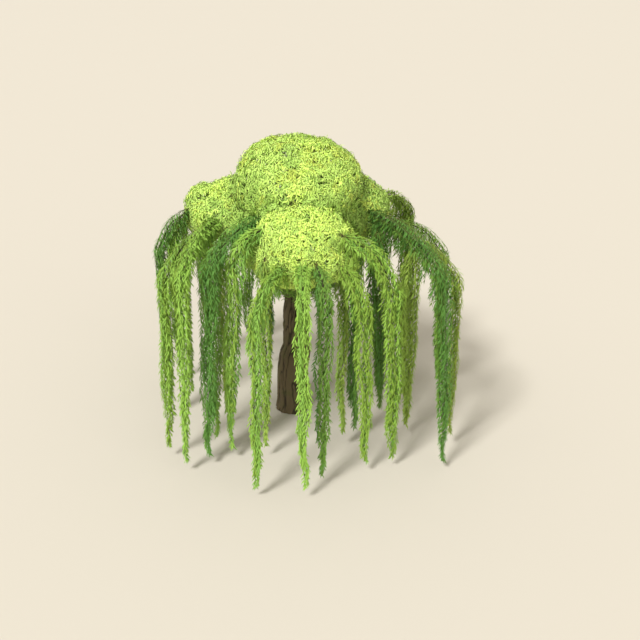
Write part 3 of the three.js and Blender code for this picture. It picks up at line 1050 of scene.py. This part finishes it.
# %% Short twigs that hang from the arches
FRINGE_A_METRE = 9
FRONT_DROP = (0.3, 0.85)
BACK_DROP = (0.4, 2.6)
BACK_STARTS = 0.8
FRINGE_RADII = np.linspace(0.005, 0.002, 4)
t = np.linspace(0, 1, len(FRINGE_RADII))[:, None]
for strand in strands:
    if not bend_of(strand):
        continue
    line = strand["line"][: bend_of(strand) + 1]
    for _ in range(int(FRINGE_A_METRE * len(line) * LINE_GAP)):
        root = line[rng.integers(len(line))]
        side = around(root[:3]) * root[3] * rng.uniform(-1, 1)
        drop = rng.uniform(*(BACK_DROP if root[1] > BACK_STARTS else FRONT_DROP))
        place = root[:3] + side * np.sqrt(t) - UP * drop * t**1.4 + UP * 0.1 * t * (1 - t)
        whip_tubes.append(tube(place, FRINGE_RADII, 3))
        clothe(strand["arch"], place, tints_for(1, strand["favoured"])[0])
print("all leaves:", sum(len(tint) for groups in foliage.values() for _, tint in groups))

# %% [markdown]
# ## Boughs
#
# The boughs wear the same bark as the trunk. Their solids gave their centre lines and widths, so
# a round tube follows each line, with the furrows pressed into it.

# %% Boughs as tubes with bark in relief
BOUGH_SIDES = 28
BOUGH_RING_GAP = 0.035
BOUGH_RELIEF_GAP = 0.04
BOUGH_FURROW_DEPTH = 0.016
BOUGH_FURROW_LEVEL = 0.8
bough_tubes = []
bough_relief = []
for number, name in enumerate(boughs):
    rows = spaced(bough_rows[name], BOUGH_RING_GAP)
    heights = np.arange(len(rows)) * BOUGH_RELIEF_GAP
    relief = relief_of(heights, BOUGH_SIDES, 7.0 + number).ravel()
    points, faces = tube(rows, (rows[:, 3] + rows[:, 4]) / 2, BOUGH_SIDES)
    centre = np.repeat(rows[:, :3], BOUGH_SIDES, 0)
    pressed = BOUGH_FURROW_DEPTH * (relief[:, None] - BOUGH_FURROW_LEVEL)
    points = points + unit(points - centre) * pressed
    bough_tubes.append((points, faces))
    bough_relief.append(relief)
bough_piece = make_mesh("boughs_bark", *join_tubes(bough_tubes), smooth=True)
set_ridge(bough_piece, np.concatenate(bough_relief))
bough_piece.data.materials.append(old_bark)
print("boughs:", len(bough_piece.data.polygons) * 2, "triangles")

# %% [markdown]
# ## Limbs and twigs
#
# A limb has to be as thick as what it carries needs. Counting backwards through the skeleton
# hands each limb's load on to its parent, and the wood's area then grows with the load, so the
# radius grows with its square root. Limbs, twigs and whips are joined into one piece each.

# %% Limbs, twigs and whips as pieces
TIP_RADIUS = 0.0069
THICKEST = 0.12
THIN_END = 0.45  # a limb's tip, as a part of its root
ROUND_FROM = 0.04  # limbs thicker than this get eight sides, the others four
ARCH_LOAD = 12
ARCH_TIP = 0.012
carried = load.copy()
for index in range(len(skeleton.lines) - 1, len(boughs), -1):
    carried[index] += ARCH_LOAD if skeleton.order[index] == ARCH else 0
    carried[skeleton.parent[index]] += carried[index]

limb_tubes = []
for index in range(len(boughs) + 1, len(skeleton.lines)):
    line = skeleton.lines[index]
    thick = min(THICKEST, TIP_RADIUS * math.sqrt(carried[index] + 1))
    thin = ARCH_TIP if skeleton.order[index] == ARCH else thick * THIN_END
    sides = 8 if thick > ROUND_FROM else 4
    limb_tubes.append(tube(line, np.linspace(thick, thin, len(line)), sides))
limbs = make_mesh("inner_limbs", *join_tubes(limb_tubes), smooth=True)
limbs.data.materials.append(limb_bark)
twigs = make_mesh("crown_twigs", *join_tubes(twig_tubes))
twigs.data.materials.append(twig_material)
whips = make_mesh("hanging_whips", *join_tubes(whip_tubes))
whips.data.materials.append(twig_material)
for piece in (limbs, twigs, whips):
    print(piece.name, len(piece.data.polygons) * 2, "triangles")

# %% [markdown]
# ## Joining the leaves
#
# Two hundred thousand separate leaves would be far too many objects. Leaves with the same
# finish are joined into pieces of fewer than 200,000 triangles. A solid's leaves all stay in one
# piece.

# %% Leaf pieces
PIECE_LEAVES = 48000
LOWEST_LEAF = 0.02


def batches_of(names):
    """Solids in groups whose leaves together fit in one piece."""
    batches = [[]]
    total = 0
    for name in names:
        size = sum(len(tint) for _, tint in foliage[name])
        if total + size > PIECE_LEAVES:
            batches.append([])
            total = 0
        batches[-1].append(name)
        total += size
    return batches


leaf_pieces = []
for slot_name in leaf_slots:
    wearers = [name for name in masses + arches + streamers if finish_of[name] == slot_name]
    for number, names in enumerate(batches_of(wearers)):
        groups = [group for name in names for group in foliage[name]]
        points = np.vstack([blade for blade, _ in groups])
        tint = np.concatenate([tint for _, tint in groups])
        start = np.arange(len(points))[:, None, None] * len(BLADE)
        faces = (BLADE_FACES[None] + start).reshape(-1, 3)
        flat = points.reshape(-1, 3)
        flat[:, 2] = np.maximum(flat[:, 2], LOWEST_LEAF)
        piece = make_mesh(f"{slot_name}_{number + 1}", flat, faces)
        for material in leaf_materials[slot_name]:
            piece.data.materials.append(material)
        which = np.repeat(tint, len(BLADE_FACES)).astype(np.int32)
        piece.data.polygons.foreach_set("material_index", which)
        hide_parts(*names)
        leaf_pieces.append(piece)
        print(piece.name, len(faces), "triangles for", len(names), "solids")

# %% [markdown]
# ## One body
#
# A rooted tree is a single body, so every piece rides on it. The trunk and the boughs each stand
# in for their own solids, and the limbs, twigs and whips are extra wood that no solid had.

# %% Every piece rides on the tree
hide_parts("trunk")
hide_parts(*boughs)
wood_pieces = [trunk, bough_piece, limbs, twigs, whips]
for piece in wood_pieces + leaf_pieces:
    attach(piece, "root")
wood_triangles = sum(len(piece.data.polygons) * 2 for piece in wood_pieces)
print("triangles in all:", wood_triangles + sum(len(piece.data.polygons) for piece in leaf_pieces))

# %% [markdown]
# ## Stage and light
#
# A tree is easiest to read on a plain pale floor under a pale sky. The floor is so wide that its
# edge lies at the horizon.

# %% Floor and sky
FLOOR_SIDE = 1500.0
FLOOR_DROP = 0.002
floor_material, floor_surface, _ = new_material("pale_floor")
floor_surface["Base Color"].default_value = (0.62, 0.575, 0.49, 1)
floor_surface["Roughness"].default_value = 0.9
floor_points = np.array([[-1, -1, 0], [1, -1, 0], [1, 1, 0], [-1, 1, 0]]) * FLOOR_SIDE / 2
floor = make_mesh("floor", floor_points, np.array([[0, 1, 2, 3]]))
floor.location.z = -FLOOR_DROP
floor.data.materials.append(floor_material)
floor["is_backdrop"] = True

world = bpy.data.worlds.new("pale_sky")
world.use_nodes = True
sky = world.node_tree.nodes["Background"]
sky.inputs["Color"].default_value = (1.0, 0.95, 0.86, 1)
sky.inputs["Strength"].default_value = 0.62
bpy.context.scene.world = world
print("floor", FLOOR_SIDE, "m wide")

# %% [markdown]
# A soft sun from the front left shapes the crown. A wide and weak second sun lifts the shade.

# %% Suns
def add_sun(name, strength, softness, towards):
    """A distant lamp whose light runs that way; softness is its width in degrees."""
    lamp = bpy.data.lights.new(name, "SUN")
    lamp.energy = strength
    lamp.angle = math.radians(softness)
    holder = bpy.data.objects.new(name, lamp)
    holder.rotation_mode = "QUATERNION"
    holder.rotation_quaternion = Vector(towards).to_track_quat("-Z", "Y")
    bpy.context.scene.collection.objects.link(holder)
    print(name, "of strength", strength)


add_sun("key_light", 3.0, 14, (0.42, 0.55, -0.85))
add_sun("fill_light", 0.6, 60, (-0.5, 0.8, -0.35))

# %% [markdown]
# ## Camera
#
# The camera looks down on the tree from well above its top, and from far enough away that the
# crown keeps its proportions, with a lens a little longer than normal.

# %% Camera
CAMERA_RISE = math.radians(27.0)
CAMERA_AWAY = 28.98
AIM = Vector((0.971, 0.0, 3.49))
lens = bpy.data.cameras.new("camera")
lens.lens = 46.9
lens.sensor_width = 36.0
lens.clip_end = 1000.0
camera = bpy.data.objects.new("camera", lens)
back = Vector((0, -math.cos(CAMERA_RISE), math.sin(CAMERA_RISE)))
camera.location = AIM + back * CAMERA_AWAY
camera.rotation_mode = "QUATERNION"
camera.rotation_quaternion = (-back).to_track_quat("-Z", "Y")
bpy.context.scene.collection.objects.link(camera)
bpy.context.scene.camera = camera
bpy.context.scene.view_settings.view_transform = "Standard"
print("camera at", [round(v, 2) for v in camera.location])

# %% [markdown]
# ## How far the leaves stand out
#
# The leaves may stand a little proud of the solids but not far, so how far they stand out of
# the solids' box is printed.

# %% Sizes, and the end
low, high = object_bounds()
print("stands proud by", [round(v, 3) for v in (*(cad_low - low), *(high - cad_high))], "m")
